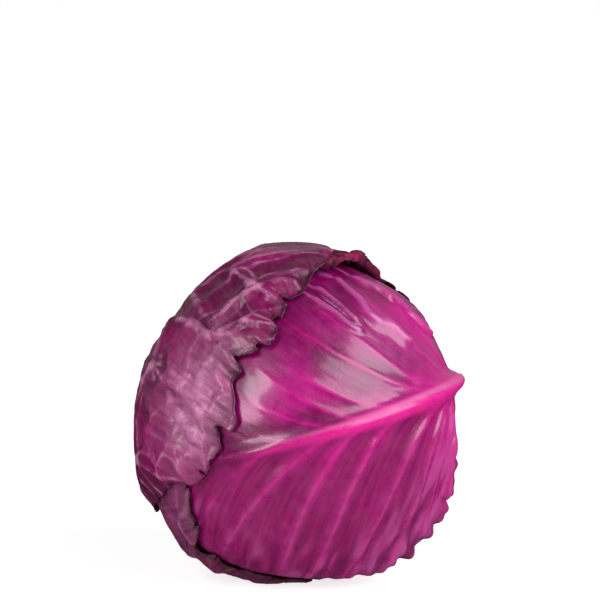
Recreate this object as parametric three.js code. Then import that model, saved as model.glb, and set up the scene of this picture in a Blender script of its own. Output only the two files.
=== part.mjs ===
// A red cabbage head lying on its side, with its cut stem to the right and a little to the back.
// It is the tight heart with its stem stump, and four wrapper leaves that hug the heart in layers:
// the front leaf innermost, then the lower one, the upper one, and the back one outermost.
// Millimetres, +Z up, origin under the middle of the head on the surface that it lies on.
import * as THREE from "three";
import { mergeVertices } from "three/addons/utils/BufferGeometryUtils.js";

// Driving dimensions of the head
const HEAD_CENTRE = new THREE.Vector3(0.7, -1.8, 75.5);
const HEART_RADIUS = 73.0;
const BLADE_THICKNESS = 1.1;
const LAYER_GAP = 1.0;
// A rib lifts the leaf over it in a tent that is this many times as wide as the rib.
const TENT = 1.7;
const FOLD_WIDTH = 4.5;
const FOLD_SLANT = 0.12;
// Past its own margin, a leaf's thickness eases out of the layers above over these shares of its reach.
const MARGIN_EASE = [1.05, 1.18];
const STEM_AZIMUTH = 112;
const STEM_TILT = 12;
const STUMP_RADIUS = 15;
const STUMP_FACE = 69;
const DIMPLE_DEPTH = 9;
const DIMPLE_SPREAD = 22;

// Broad swellings of the heart: azimuth, elevation, height in mm, spread in degrees.
const SWELLINGS = [
  [-150, 78, 5.6, 24],
  [98, 34, 3.2, 18],
  [-92, 22, -2.2, 30],
  [-92, -10, 1.8, 14],
  [-82, -46, 4.8, 22],
  [66, -58, 2.6, 20],
  [180, -76, 1.4, 28],
];

// A leaf is drawn flat, then wrapped round the head. Its own plane has its middle at the leaf's
// centre and +y towards its tip, and a bearing is the angle from +y towards +x.
const WRAP_RADIUS = 78;

// Each leaf, innermost first. outline holds pairs of bearing in degrees and reach in mm. lifts are
// stretches of margin that stand off the head: bearing, spread in degrees, height in mm. The side
// veins of each half are pairs: the place on the midrib where it leaves, and how far it runs tipwards
// as it curves out. folds are long creases beside the midrib: their distance from it and height.
const LEAVES = [
  {
    name: "front_leaf",
    colour: 0x9c1877,
    centre: [2.9, 6.2],
    grid: 40,
    outline: [
      [0, 100], [45, 108], [90, 118], [120, 118], [150, 112], [165, 112], [173, 121], [180, 126.5],
      [187, 121], [194, 106], [203, 104], [215, 109], [230, 112], [255, 113], [285, 106], [325, 100],
    ],
    ragged: 1.4,
    lifts: [[226, 22, 4.6], [254, 15, 5.4]],
    frill: { height: 1.5, waves: 29 },
    rib: { height: 8.8, width: 4.6 },
    veins: {
      height: 1.3,
      width: 3.4,
      plus: [[-118, 5.5], [-116, 7.8], [-98, 9.2], [-94, 11.4], [-62, 10.4], [-42, 9.2], [-30, 10.6], [-4, 10]],
      minus: [[-103, 3.4], [-104, 5.6], [-107, 8.0], [-98, 10], [-58, 8.1], [-36, 8.0], [-27, 12], [10, 10]],
    },
    folds: [],
    floor: BLADE_THICKNESS + LAYER_GAP,
  },
  {
    name: "lower_leaf",
    colour: 0x84406f,
    centre: [-125, -48],
    grid: 24,
    outline: [
      [0, 108], [12, 106], [20, 100], [27, 88], [34, 80], [37, 66], [43, 58], [48, 65], [53, 61],
      [63, 66], [70, 75], [82, 80], [107, 80], [122, 84], [136, 98], [150, 119], [163, 134],
      [172, 141], [180, 144], [190, 138], [207, 116], [225, 100], [250, 96], [300, 98], [335, 104],
    ],
    ragged: 1.6,
    lifts: [[30, 16, 1.6], [60, 14, 1.2]],
    frill: { height: 0.8, waves: 17 },
    rib: { height: 5.0, width: 6.5 },
    veins: {
      height: 0.9,
      width: 3.6,
      plus: [[-130, 7], [-112, 9], [-90, 10], [-66, 10], [-42, 11], [-16, 11], [12, 10]],
      minus: [[-132, 6], [-120, 9], [-98, 10], [-76, 10], [-50, 11], [-24, 11], [4, 10]],
    },
    folds: [],
    floor: 0,
  },
  {
    name: "upper_leaf",
    colour: 0x8a4a78,
    centre: [-112, 38],
    grid: 30,
    outline: [
      [0, 104], [40, 100], [90, 98], [130, 106], [155, 122], [168, 132], [180, 137], [190, 131],
      [201, 112], [213, 99], [232, 95], [246, 88], [257, 92], [266, 90], [274, 95], [284, 100],
      [293, 91], [297, 97], [301, 96], [305, 103], [311, 110], [317, 107], [322, 113], [326, 111],
      [332, 117], [338, 115], [344, 108], [352, 104],
    ],
    ragged: 1.8,
    lifts: [[240, 16, 4.0], [284, 13, 2.6], [312, 12, 2.0], [334, 9, 1.6]],
    frill: { height: 1.1, waves: 21 },
    rib: { height: 5.0, width: 7.0 },
    veins: {
      height: 0.8,
      width: 3.6,
      plus: [[-122, 7], [-104, 9], [-82, 10], [-58, 10], [-34, 11], [-8, 11], [20, 10]],
      minus: [[-124, 6], [-112, 8], [-90, 9], [-66, 9], [-42, 9], [-16, 9], [12, 8]],
    },
    folds: [[-34, 1.5], [-52, 1.3], [-69, 1.0]],
    floor: 0,
  },
  {
    name: "back_leaf",
    colour: 0x7c3d6b,
    centre: [172, 10],
    grid: 24,
    outline: [
      [0, 108], [50, 104], [80, 96], [110, 96], [140, 92], [160, 72], [171, 61], [180, 59],
      [189, 61], [200, 72], [216, 84], [232, 84], [250, 84], [275, 84], [310, 90], [340, 102],
    ],
    ragged: 2.0,
    lifts: [[115, 24, 2.0], [245, 24, 2.0], [300, 22, 1.6]],
    frill: { height: 1.2, waves: 17 },
    rib: { height: 5.5, width: 7.0 },
    veins: {
      height: 1.1,
      width: 3.6,
      plus: [[-58, 7], [-50, 10], [-34, 11], [-12, 11], [14, 11], [42, 10]],
      minus: [[-58, 6], [-44, 9], [-24, 11], [0, 11], [28, 11], [56, 10]],
    },
    folds: [],
    floor: 0,
  },
];

// The ribs of the heart's own outer leaves, round the stump: angle round the stem axis in degrees.
const HEART_RIBS = [-146, 77, -60];
const HEART_RIB_HEIGHT = 1.4;
const HEART_RIB_SPREAD = 16;
const HEART_RINGS = 18;
const HEART_SEGMENTS = 36;

const radians = THREE.MathUtils.degToRad;
const smoothstep = (x, low, high) => THREE.MathUtils.smoothstep(x, low, high);
const bell = (x, width) => Math.exp(-((x / width) ** 2));

// Azimuth 0 faces the front of the head, and azimuth 90 its right side.
function directionOf(azimuth, elevation) {
  const a = radians(azimuth);
  const e = radians(elevation);
  return new THREE.Vector3(Math.sin(a) * Math.cos(e), -Math.cos(a) * Math.cos(e), Math.sin(e));
}

const STEM = directionOf(STEM_AZIMUTH, STEM_TILT);
const STEM_FRONT = new THREE.Vector3(0, -1, 0).projectOnPlane(STEM).normalize();
const STEM_UP = STEM.clone().cross(STEM_FRONT).negate();

// The smallest turn between two bearings, in degrees.
function turnBetween(a, b) {
  return Math.abs(((a - b + 540) % 360) - 180);
}

// The three axes of a leaf's own plane, and how far its centre is from the stem pole.
for (const leaf of LEAVES) {
  leaf.normal = directionOf(...leaf.centre);
  leaf.tip = leaf.normal.clone().multiplyScalar(STEM.dot(leaf.normal)).sub(STEM).normalize();
  leaf.side = leaf.tip.clone().cross(leaf.normal);
  leaf.toStem = WRAP_RADIUS * leaf.normal.angleTo(STEM);
}

// A smooth closed curve through the outline's reaches, at any bearing.
function smoothReach(outline, bearing) {
  const count = outline.length;
  let k = outline.findIndex(([at]) => at > bearing);
  if (k < 0) k = count;
  const value = (i) => outline[(i + count) % count][1];
  const place = (i) => outline[(i + count) % count][0] + 360 * Math.floor(i / count);
  const [a, b] = [place(k - 1), place(k)];
  const t = (bearing - a) / (b - a);
  const slope = (i) => (value(i + 1) - value(i - 1)) / (place(i + 1) - place(i - 1));
  const [from, to, rise, fall] = [value(k - 1), value(k), slope(k - 1), slope(k)];
  const t2 = t * t;
  const t3 = t2 * t;
  return (
    from * (2 * t3 - 3 * t2 + 1) + to * (3 * t2 - 2 * t3) +
    (b - a) * (rise * (t3 - 2 * t2 + t) + fall * (t3 - t2))
  );
}

// The small nicks and teeth of a leaf's margin.
function raggedness(leaf, bearing) {
  const b = radians(bearing);
  const petiole = smoothstep(turnBetween(bearing, 180), 9, 20);
  return leaf.ragged * petiole *
    (0.5 * Math.sin(17 * b + 1.3) + 0.35 * Math.sin(29 * b + 4.1) + 0.3 * Math.sin(43 * b + 0.6));
}

function reachOf(leaf, bearing) {
  return smoothReach(leaf.outline, bearing) + raggedness(leaf, bearing);
}

// Where a direction from the head's centre falls in a leaf's plane. share is 1 on the margin.
function placeIn(leaf, direction) {
  const angle = direction.angleTo(leaf.normal);
  const scale = (WRAP_RADIUS * angle) / Math.max(Math.sin(angle), 1e-6);
  const x = scale * direction.dot(leaf.side);
  const y = scale * direction.dot(leaf.tip);
  const bearing = (THREE.MathUtils.radToDeg(Math.atan2(x, y)) + 360) % 360;
  return { x, y, bearing, share: Math.hypot(x, y) / reachOf(leaf, bearing) };
}

// The midrib: thick and broad where it joins the stem, fading towards the tip.
function ribHeight(leaf, x, y, broadened = 1) {
  const length = leaf.toStem + leaf.outline[0][1];
  const along = THREE.MathUtils.clamp((y + leaf.toStem) / length, 0, 1);
  const root = smoothstep(along, 0.04, 0.16);
  const height = leaf.rib.height * (1 - along) ** 1.5 * (0.55 + 0.45 * root) + 0.7;
  const width = leaf.rib.width * (1 - along) ** 0.7 + 2;
  return height * bell(x, width * broadened);
}

// The side veins leave the midrib almost along it, then curve out towards the margin.
function veinHeight(leaf, x, y) {
  const out = Math.max(Math.abs(x), 0.5);
  let most = 0;
  for (const [start, run] of x > 0 ? leaf.veins.plus : leaf.veins.minus) {
    const slope = run / (2 * Math.sqrt(out));
    const aside = (y - start - run * Math.sqrt(out)) / Math.hypot(1, slope);
    const fade = smoothstep(out, 3, 14) * (1 - 0.5 * smoothstep(out, 40, 105));
    most = Math.max(most, leaf.veins.height * fade * bell(aside, leaf.veins.width));
  }
  for (const [beside, height] of leaf.folds) {
    most = Math.max(most, height * bell(x - beside - FOLD_SLANT * y, FOLD_WIDTH));
  }
  return most;
}

// How far the margin stands off the layer below it.
function liftOf(leaf, at) {
  let lift = 0;
  for (const [bearing, spread, height] of leaf.lifts) {
    lift += height * bell(turnBetween(at.bearing, bearing), spread);
  }
  const frilled = 1 + (leaf.frill.height / 3) * Math.sin(radians(leaf.frill.waves * at.bearing));
  return lift * frilled * smoothstep(at.share, 0.78, 1.0);
}

// 1 where no later leaf lies over this one, easing to 0 at the later leaf's margin.
function exposure(number, direction) {
  let open = 1;
  for (const later of LEAVES.slice(number + 1)) {
    open *= smoothstep(placeIn(later, direction).share, ...MARGIN_EASE);
  }
  return open;
}

function swell(direction) {
  let sum = 0;
  for (const [azimuth, elevation, height, spread] of SWELLINGS) {
    const angle = direction.angleTo(directionOf(azimuth, elevation));
    sum += height * bell(THREE.MathUtils.radToDeg(angle), spread);
  }
  return sum;
}

// The heart's surface, dimpled round the stem, with the low ribs of its own leaves in the dimple.
function heartRadius(direction) {
  const fromStem = THREE.MathUtils.radToDeg(direction.angleTo(STEM));
  const round = THREE.MathUtils.radToDeg(Math.atan2(direction.dot(STEM_UP), direction.dot(STEM_FRONT)));
  const dimple = DIMPLE_DEPTH * bell(fromStem, DIMPLE_SPREAD);
  const ribbed = smoothstep(fromStem, 14, 24) * (1 - smoothstep(fromStem, 30, 80));
  let ribs = 0;
  for (const rib of HEART_RIBS) ribs += bell(turnBetween(round, rib), HEART_RIB_SPREAD);
  return HEART_RADIUS + swell(direction) - dimple + HEART_RIB_HEIGHT * ribbed * ribs;
}

// Everything under leaf number `number`, as one smooth surface that the leaf lies on.
function stackRadius(number, direction) {
  let radius = heartRadius(direction);
  for (let k = 0; k < number; k++) {
    const leaf = LEAVES[k];
    const at = placeIn(leaf, direction);
    const cover = 1 - smoothstep(at.share, ...MARGIN_EASE);
    if (cover > 0) {
      const raised = ribHeight(leaf, at.x, at.y, TENT) + exposure(k, direction) * liftOf(leaf, at);
      radius += cover * (LAYER_GAP + BLADE_THICKNESS + raised);
    }
  }
  return radius;
}

// The point on the head at that radius, kept above a level over the surface it lies on.
function pointAt(direction, radius, floor) {
  const p = direction.clone().multiplyScalar(radius).add(HEAD_CENTRE);
  p.z = Math.max(p.z, floor);
  return p;
}

// A closed geometry from two like sheets of vertices and the grid cells between them.
function solidFromGrid(count, outer, inner) {
  const rows = count + 1;
  const positions = [...outer, ...inner].flatMap((p) => p.toArray());
  const faces = [];
  const quad = (a, b, c, d) => faces.push(a, b, c, a, c, d);
  const at = (i, j) => j * rows + i;
  const under = rows * rows;
  for (let j = 0; j < count; j++) {
    for (let i = 0; i < count; i++) {
      const corners = [at(i, j), at(i + 1, j), at(i + 1, j + 1), at(i, j + 1)];
      // Cells in opposite quarters are split the same way, so the diagonals run across the corners.
      const turned = (i < count / 2) === (j < count / 2) ? [1, 2, 3, 0] : [0, 1, 2, 3];
      const cell = turned.map((n) => corners[n]);
      quad(...cell);
      const back = cell.map((n) => n + under);
      faces.push(back[0], back[2], back[1], back[0], back[3], back[2]);
    }
  }
  for (let n = 0; n < count; n++) {
    const edges = [
      [at(n, 0), at(n + 1, 0)],
      [at(count, n), at(count, n + 1)],
      [at(count - n, count), at(count - n - 1, count)],
      [at(0, count - n), at(0, count - n - 1)],
    ];
    for (const [a, b] of edges) quad(b, a, a + under, b + under);
  }
  const geometry = new THREE.BufferGeometry();
  geometry.setAttribute("position", new THREE.Float32BufferAttribute(positions, 3));
  geometry.setIndex(faces);
  return geometry;
}

// A leaf: a square grid drawn out to the leaf's outline, wrapped over what lies under it.
function leafGeometry(number) {
  const leaf = LEAVES[number];
  const outer = [];
  const inner = [];
  for (let j = 0; j <= leaf.grid; j++) {
    for (let i = 0; i <= leaf.grid; i++) {
      const v = (2 * j) / leaf.grid - 1;
      // The columns are closer together over the midrib.
      const column = (2 * i) / leaf.grid - 1;
      const u = column * (0.72 + 0.28 * column * column);
      const across = u * Math.sqrt(1 - (v * v) / 2);
      const along = v * Math.sqrt(1 - (u * u) / 2);
      const share = Math.hypot(across, along);
      const bearing = (THREE.MathUtils.radToDeg(Math.atan2(across, along)) + 360) % 360;
      const reach = reachOf(leaf, bearing);
      const angle = (share * reach) / WRAP_RADIUS;
      const direction = leaf.normal.clone().multiplyScalar(Math.cos(angle));
      const heading = radians(bearing);
      direction.addScaledVector(leaf.side, Math.sin(angle) * Math.sin(heading));
      direction.addScaledVector(leaf.tip, Math.sin(angle) * Math.cos(heading));
      const at = placeIn(leaf, direction);
      const open = exposure(number, direction);
      const below = stackRadius(number, direction) + LAYER_GAP + open * liftOf(leaf, at);
      const relief = ribHeight(leaf, at.x, at.y) + open * veinHeight(leaf, at.x, at.y);
      outer.push(pointAt(direction, below + BLADE_THICKNESS + relief, leaf.floor));
      inner.push(pointAt(direction, below, leaf.floor + BLADE_THICKNESS));
    }
  }
  return solidFromGrid(leaf.grid, outer, inner);
}

// The heart is turned round the stem axis: the stump's cut face and wall, then the dimpled ball.
function heartGeometry() {
  const wallTop = Math.atan(STUMP_RADIUS / STUMP_FACE);
  const wallFoot = Math.asin(STUMP_RADIUS / (HEART_RADIUS - DIMPLE_DEPTH + 1));
  const profile = [[0, STUMP_FACE], [STUMP_RADIUS * 0.5, STUMP_FACE], [STUMP_RADIUS, STUMP_FACE]];
  for (let n = 0; n <= HEART_RINGS; n++) {
    const angle = wallFoot + ((Math.PI - wallFoot) * n) / HEART_RINGS;
    profile.push([Math.sin(angle), Math.cos(angle)]);
  }
  profile[profile.length - 1][0] = 0;
  const points = profile.map(([across, along]) => new THREE.Vector2(across, along)).reverse();
  const lathe = new THREE.LatheGeometry(points, HEART_SEGMENTS);
  lathe.deleteAttribute("normal");
  lathe.deleteAttribute("uv");
  const geometry = mergeVertices(lathe, 1e-4);
  const turn = new THREE.Quaternion().setFromUnitVectors(new THREE.Vector3(0, 1, 0), STEM);
  const position = geometry.getAttribute("position");
  for (let n = 0; n < position.count; n++) {
    const local = new THREE.Vector3().fromBufferAttribute(position, n);
    const onStump = local.angleTo(new THREE.Vector3(0, 1, 0)) < wallTop + 1e-3;
    const direction = local.clone().normalize().applyQuaternion(turn);
    const radius = onStump ? local.length() : heartRadius(direction);
    const floor = 2 * (BLADE_THICKNESS + LAYER_GAP);
    position.setXYZ(n, ...pointAt(direction, radius, floor).toArray());
  }
  return geometry;
}

function finish(colour) {
  return new THREE.MeshStandardMaterial({ color: colour, roughness: 0.42, metalness: 0 });
}

const cabbage = new THREE.Group();
const heart = new THREE.Mesh(heartGeometry(), finish(0xa0507f));
heart.name = "heart_with_stump";
cabbage.add(heart);
LEAVES.forEach((leaf, number) => {
  const mesh = new THREE.Mesh(leafGeometry(number), finish(leaf.colour));
  mesh.name = leaf.name;
  cabbage.add(mesh);
});

export default cabbage;
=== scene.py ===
# %% [markdown]
# # A red cabbage head
#
# A cabbage head is nothing but leaves. The young ones are folded so tightly that they make one
# firm ball, the heart, and the older ones wrap round it in layers. This lesson dresses a plain
# solid model of one in fine leaves: each is drawn flat, as a leaf lies on a table, and is then
# wrapped over everything under it, so that no leaf cuts through another.

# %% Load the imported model
import math

import bmesh
import bpy
import numpy as np
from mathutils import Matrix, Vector


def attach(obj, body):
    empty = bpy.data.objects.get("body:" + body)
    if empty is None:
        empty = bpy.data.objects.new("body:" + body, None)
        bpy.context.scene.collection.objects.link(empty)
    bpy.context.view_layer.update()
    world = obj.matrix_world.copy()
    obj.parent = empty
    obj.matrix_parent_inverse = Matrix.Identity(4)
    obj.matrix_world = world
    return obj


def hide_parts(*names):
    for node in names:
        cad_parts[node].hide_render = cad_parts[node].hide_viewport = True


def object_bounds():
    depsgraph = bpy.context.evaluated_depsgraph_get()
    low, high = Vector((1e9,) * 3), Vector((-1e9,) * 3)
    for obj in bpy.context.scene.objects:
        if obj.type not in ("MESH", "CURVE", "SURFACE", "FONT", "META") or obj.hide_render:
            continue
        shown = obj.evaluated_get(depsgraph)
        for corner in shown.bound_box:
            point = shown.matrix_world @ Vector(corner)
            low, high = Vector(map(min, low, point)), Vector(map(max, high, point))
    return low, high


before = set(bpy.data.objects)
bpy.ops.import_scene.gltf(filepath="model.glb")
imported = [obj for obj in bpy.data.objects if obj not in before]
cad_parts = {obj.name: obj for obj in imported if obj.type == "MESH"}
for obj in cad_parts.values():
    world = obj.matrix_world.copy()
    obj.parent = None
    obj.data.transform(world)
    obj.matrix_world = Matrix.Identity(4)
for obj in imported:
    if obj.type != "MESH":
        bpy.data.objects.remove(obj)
cad_box = [list(corner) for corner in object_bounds()]
print("CAD box in metres:", cad_box)

# %% [markdown]
# ## The measurements
#
# These are the same numbers as the solid model has, in millimetres. The head lies on its side:
# its stem points to the right, a little to the back and a little up. The fine leaves lie a little
# closer to one another than the solid ones do, so that they stay inside them.

# %% Measurements of the whole head
MM = 0.001
HEAD_CENTRE = np.array([0.7, -1.8, 75.5])
HEART_RADIUS = 73.0
BLADE_THICKNESS = 1.1
LAYER_GAP = 1.0
FINE_GAP = 0.6
STEM_AZIMUTH, STEM_TILT = 112, 12
STUMP_RADIUS = 15
STUMP_FACE = 69
DIMPLE_DEPTH, DIMPLE_SPREAD = 9, 22
HEART_RIBS = (-146, 77, -60)
HEART_RIB_HEIGHT, HEART_RIB_SPREAD = 1.4, 16
WRAP_RADIUS = 78
print("heart:", 2 * HEART_RADIUS, "mm across, under leaves", BLADE_THICKNESS, "mm thick")

# %% Measurements of a leaf's relief
# How far a margin is pressed down, and how much wider than a rib a leaf is tented over it.
MARGIN_HUG = 0.7
TENT = 1.7
# Between these shares of the way out, a leaf stops lifting what lies on it.
MARGIN_EASE = (1.05, 1.18)
# Long pleats beside the midrib, and the reach of a traced fold in widths of its crest.
PLEAT_WIDTH, PLEAT_SLANT = 4.5, 0.12
FOLD_SPREAD = 3.6
# The distance that stands for "no crease near", and where on the midrib the knob is.
NO_CREASE = 9.0
KNOB_Y = -112
# The two nets of creases: their mesh sizes, and how the wide net is drawn out and slanted.
WIDE_MESH, SMALL_MESH = 17, 8
CREASE_STRETCH, CREASE_SLANT = 0.3, 0.28
# The curve of the skin's flow on the two sides of the midrib, and what keeps their noise apart.
FLOW_RUN_PLUS, FLOW_RUN_MINUS = 8.5, 8.0
OTHER_HALF = 300
# How much of the blade turns at a waved margin, and how much more where it is rolled.
CURL_LENGTH, ROLL_LENGTH = 2.4, 2.7
# The band before a wall of the box that is eased, and how far inside the inner faces keep.
BOX_EASING, INNER_INSET = 3.0, 0.7

# Broad swellings of the heart: azimuth, elevation, height in mm, spread in degrees.
SWELLINGS = (
    (-150, 78, 5.6, 24),
    (98, 34, 3.2, 18),
    (-92, 22, -2.2, 30),
    (-92, -10, 1.8, 14),
    (-82, -46, 4.8, 22),
    (66, -58, 2.6, 20),
    (180, -76, 1.4, 28),
)

# %% [markdown]
# ## The leaves, drawn flat
#
# A leaf's own plane has its middle at the leaf's centre, and +y towards its tip. A bearing is the
# angle from +y, and the outline says how far the blade reaches at each bearing. Innermost leaf
# first. Millimetres and degrees, and what each line holds:
#
# - lifts: where the margin stands off the head: bearing, spread, height. frill: height and waves.
# - rib and vein: height and width. plus and minus: where each side vein leaves the midrib, and how
#   far it runs towards the tip as it curves out, on the +x and the -x side.
# - folds: long pleats beside the midrib. ridges: traced folds, with height, width and their line.
# - curls: where the margin is rolled up: bearing, spread, turn. frays: where it is dry and torn.
# - blooms: patches of pale wax: x, y, size, amount.
# - ragged, furrows, crumpled and curled say how much of each the leaf has.
# - floor: the lowest that its underside may be. grid: how many squares its mesh has each way.

# %% The four wrapper leaves
LEAVES = [
    dict(
        name="front_leaf",
        centre=(2.9, 6.2),
        outline=[
            (0, 100), (45, 108), (90, 118), (120, 118), (150, 112), (165, 112), (173, 121),
            (180, 126.5), (187, 121), (194, 106), (203, 104), (215, 109), (230, 112), (255, 111),
            (272, 113), (287, 112), (307, 111), (325, 107), (345, 102),
        ],
        ragged=1.0,
        lifts=[(226, 22, 4.2), (254, 15, 3.4)],
        frill=(0.8, 43),
        rib=(8.8, 4.6),
        vein=(1.3, 3.4),
        plus=[(-118, 5.5), (-116, 7.8), (-98, 9.2), (-94, 11.4), (-62, 10.4), (-42, 9.2),
              (-30, 10.6), (-4, 10)],
        minus=[(-103, 3.4), (-104, 5.6), (-107, 8.0), (-98, 10), (-58, 8.1), (-36, 8.0),
               (-27, 12), (10, 10)],
        folds=[],
        floor=BLADE_THICKNESS + LAYER_GAP,
        curls=[(236, 22, 0.9)],
        frays=[],
        blooms=[(34, -52, 23, 0.32), (24, -88, 18, 0.34), (-84, -62, 24, 0.5), (-98, -20, 20, 0.35)],
        furrows=1.0,
        crumpled=0.0,
        curled=0.0,
        ridges=[
            (3.2, 1.9, [(88, -22), (80, -26), (69, -30), (60, -36), (52, -42)]),
            (3.0, 1.8, [(92, -34), (82, -40), (72, -44), (61, -50), (48, -57), (34, -70)]),
            (2.0, 1.2, [(80, -16), (74, -20), (65, -27), (58, -33), (46, -40)]),
            (2.2, 1.6, [(92, -48), (79, -61), (70, -70), (60, -80), (36, -93)]),
        ],
        grid=200,
    ),
    dict(
        name="lower_leaf",
        centre=(-125, -48),
        outline=[
            (0, 108), (12, 106), (20, 100), (27, 88), (34, 80), (37, 66), (43, 58), (48, 65),
            (53, 59), (63, 59), (70, 62), (82, 67), (107, 72), (122, 80), (136, 98), (150, 119),
            (163, 134), (172, 141), (180, 144), (190, 138), (207, 116), (225, 100), (250, 96),
            (300, 98), (335, 104),
        ],
        ragged=1.6,
        lifts=[(30, 14, 0.8), (85, 34, -0.9)],
        frill=(0.8, 17),
        rib=(5.0, 6.5),
        vein=(0.9, 3.6),
        plus=[(-130, 7), (-112, 9), (-90, 10), (-66, 10), (-42, 11), (-16, 11), (12, 10)],
        minus=[(-132, 6), (-120, 9), (-98, 10), (-76, 10), (-50, 11), (-24, 11), (4, 10)],
        folds=[],
        floor=0,
        curls=[],
        frays=[(52, 20), (90, 26)],
        blooms=[(30, 70, 26, 0.35)],
        furrows=0.0,
        crumpled=0.7,
        curled=0.25,
        ridges=[(1.2, 1.8, [(50, 108), (36, 90), (34, 70), (40, 52)])],
        grid=150,
    ),
    dict(
        name="upper_leaf",
        centre=(-112, 38),
        outline=[
            (0, 104), (40, 100), (90, 98), (130, 106), (155, 122), (168, 132), (180, 137),
            (190, 131), (201, 112), (213, 99), (232, 95), (246, 88), (257, 92), (266, 90),
            (274, 95), (284, 100), (293, 92), (296, 100), (301, 99), (305, 107), (311, 113),
            (317, 110), (322, 115), (326, 114), (332, 118), (338, 115), (344, 108), (352, 104),
        ],
        ragged=1.8,
        lifts=[(240, 16, 1.8), (284, 13, 2.2), (312, 12, 1.8), (334, 9, 1.2)],
        frill=(1.1, 21),
        rib=(5.0, 7.0),
        vein=(0.8, 3.6),
        plus=[(-122, 7), (-104, 9), (-82, 10), (-58, 10), (-34, 11), (-8, 11), (20, 10)],
        minus=[(-124, 6), (-112, 8), (-90, 9), (-66, 9), (-42, 9), (-16, 9), (12, 8)],
        folds=[(-34, 1.5), (-52, 1.3), (-69, 1.0)],
        floor=0,
        curls=[(228, 16, 4.1)],
        frays=[(256, 24), (296, 8)],
        blooms=[(-64, 60, 22, 0.9), (-54, 86, 14, 0.6), (-76, 30, 12, 0.35)],
        furrows=0.3,
        crumpled=0.75,
        curled=0.8,
        ridges=[
            (2.3, 1.9, [(-20, -12), (-26, -26), (-35, -50), (-43, -66)]),
            (2.2, 1.8, [(-33, 6), (-37, -4), (-49, -12), (-58, -27), (-59, -46)]),
            (2.4, 1.8, [(-35, 7), (-54, 19), (-65, 23), (-69, 9), (-74, -12), (-80, -22)]),
            (1.8, 1.5, [(-49, -12), (-68, -4), (-83, -6)]),
            (2.2, 1.7, [(-28, 22), (-46, 23), (-67, 30), (-80, 34)]),
            (2.4, 1.8, [(-28, 22), (-31, 43), (-13, 61), (-3, 79)]),
            (2.0, 1.6, [(-13, 61), (-29, 46), (-51, 58), (-66, 71)]),
            (2.0, 1.7, [(-3, 79), (-16, 93), (-35, 104)]),
            (1.4, 1.3, [(-71, 24), (-92, 10)]),
            (1.6, 1.4, [(-43, 62), (-60, 84)]),
        ],
        grid=210,
    ),
    dict(
        name="back_leaf",
        centre=(172, 10),
        outline=[
            (0, 108), (50, 104), (80, 96), (110, 96), (140, 92), (160, 72), (171, 61), (180, 59),
            (189, 61), (200, 72), (216, 84), (232, 84), (250, 84), (275, 84), (310, 90), (340, 102),
        ],
        ragged=2.0,
        lifts=[(115, 24, 1.2), (240, 30, -0.7), (300, 22, 0.8)],
        frill=(1.2, 17),
        rib=(5.5, 7.0),
        vein=(1.1, 3.6),
        plus=[(-58, 7), (-50, 10), (-34, 11), (-12, 11), (14, 11), (42, 10)],
        minus=[(-58, 6), (-44, 9), (-24, 11), (0, 11), (28, 11), (56, 10)],
        folds=[],
        floor=0,
        curls=[],
        frays=[(245, 30)],
        blooms=[(20, 30, 40, 0.3)],
        furrows=0.3,
        crumpled=0.6,
        curled=0.35,
        ridges=[],
        grid=150,
    ),
]
print("leaves:", [leaf["name"] for leaf in LEAVES])

# %% [markdown]
# ## Small curves that everything is made of
#
# Every form below is a sum of soft steps and bells, worked out for a whole array of points at
# once, which is what keeps a mesh of a hundred thousand points quick.


# %% Steps, bells and directions
def smoothstep(x, low, high):
    t = np.clip((x - low) / (high - low), 0, 1)
    return t * t * (3 - 2 * t)


def bell(x, width):
    return np.exp(-((x / width) ** 2))


def turn_between(a, b):
    """The smallest turn between two bearings, in degrees."""
    return np.abs((a - b + 540) % 360 - 180)


def direction_of(azimuth, elevation):
    """Azimuth 0 faces the front of the head, and azimuth 90 its right side."""
    a, e = np.radians(azimuth), np.radians(elevation)
    return np.array([np.sin(a) * np.cos(e), -np.cos(a) * np.cos(e), np.sin(e)])


def angle_from(directions, axis):
    return np.arccos(np.clip(directions @ axis, -1, 1))


STEM = direction_of(STEM_AZIMUTH, STEM_TILT)
STEM_FRONT = np.array([0, -1, 0]) + STEM * STEM[1]
STEM_FRONT /= np.linalg.norm(STEM_FRONT)
STEM_UP = -np.cross(STEM, STEM_FRONT)

# %% [markdown]
# ## Noise that is the same each time
#
# Nothing on a leaf repeats evenly. A small table of seeded random numbers, read with soft steps
# between its entries, gives swells of any size, and gives the same ones on every run.


# %% Smooth noise over a plane, and round a circle
NOISE_CELLS = 64
scatter = np.random.default_rng(17).random((NOISE_CELLS, NOISE_CELLS, 4))
print("random table:", scatter.shape)


def soft_noise(x, y, size, layer=0, offset=5.3):
    """Smooth noise from 0 to 1, with swells about that many mm across."""
    gx, gy = x / size + 13.7 * layer, y / size + offset * layer
    ix, iy = np.floor(gx).astype(int), np.floor(gy).astype(int)
    fx, fy = gx - ix, gy - iy
    fx, fy = fx * fx * (3 - 2 * fx), fy * fy * (3 - 2 * fy)
    left, right = ix % NOISE_CELLS, (ix + 1) % NOISE_CELLS
    near, far = iy % NOISE_CELLS, (iy + 1) % NOISE_CELLS
    table = scatter[:, :, layer % 4]
    low = table[left, near] * (1 - fx) + table[right, near] * fx
    high = table[left, far] * (1 - fx) + table[right, far] * fx
    return low * (1 - fy) + high * fy


def around_noise(bearing, steps, layer):
    """Smooth noise from -0.5 to 0.5 that closes after a full turn; steps is 64, 128 or 256."""
    return soft_noise(bearing, 0 * bearing, 360 / steps, layer, 0) - 0.5


# %% [markdown]
# ## From the head to a leaf's plane, and back
#
# Wrapping a flat leaf keeps its distances from its centre true, as a paper disc pressed on a ball
# does. The same rule backwards says where any point of the head falls on a leaf, so each leaf
# knows what lies over it and what lies under it.


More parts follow.
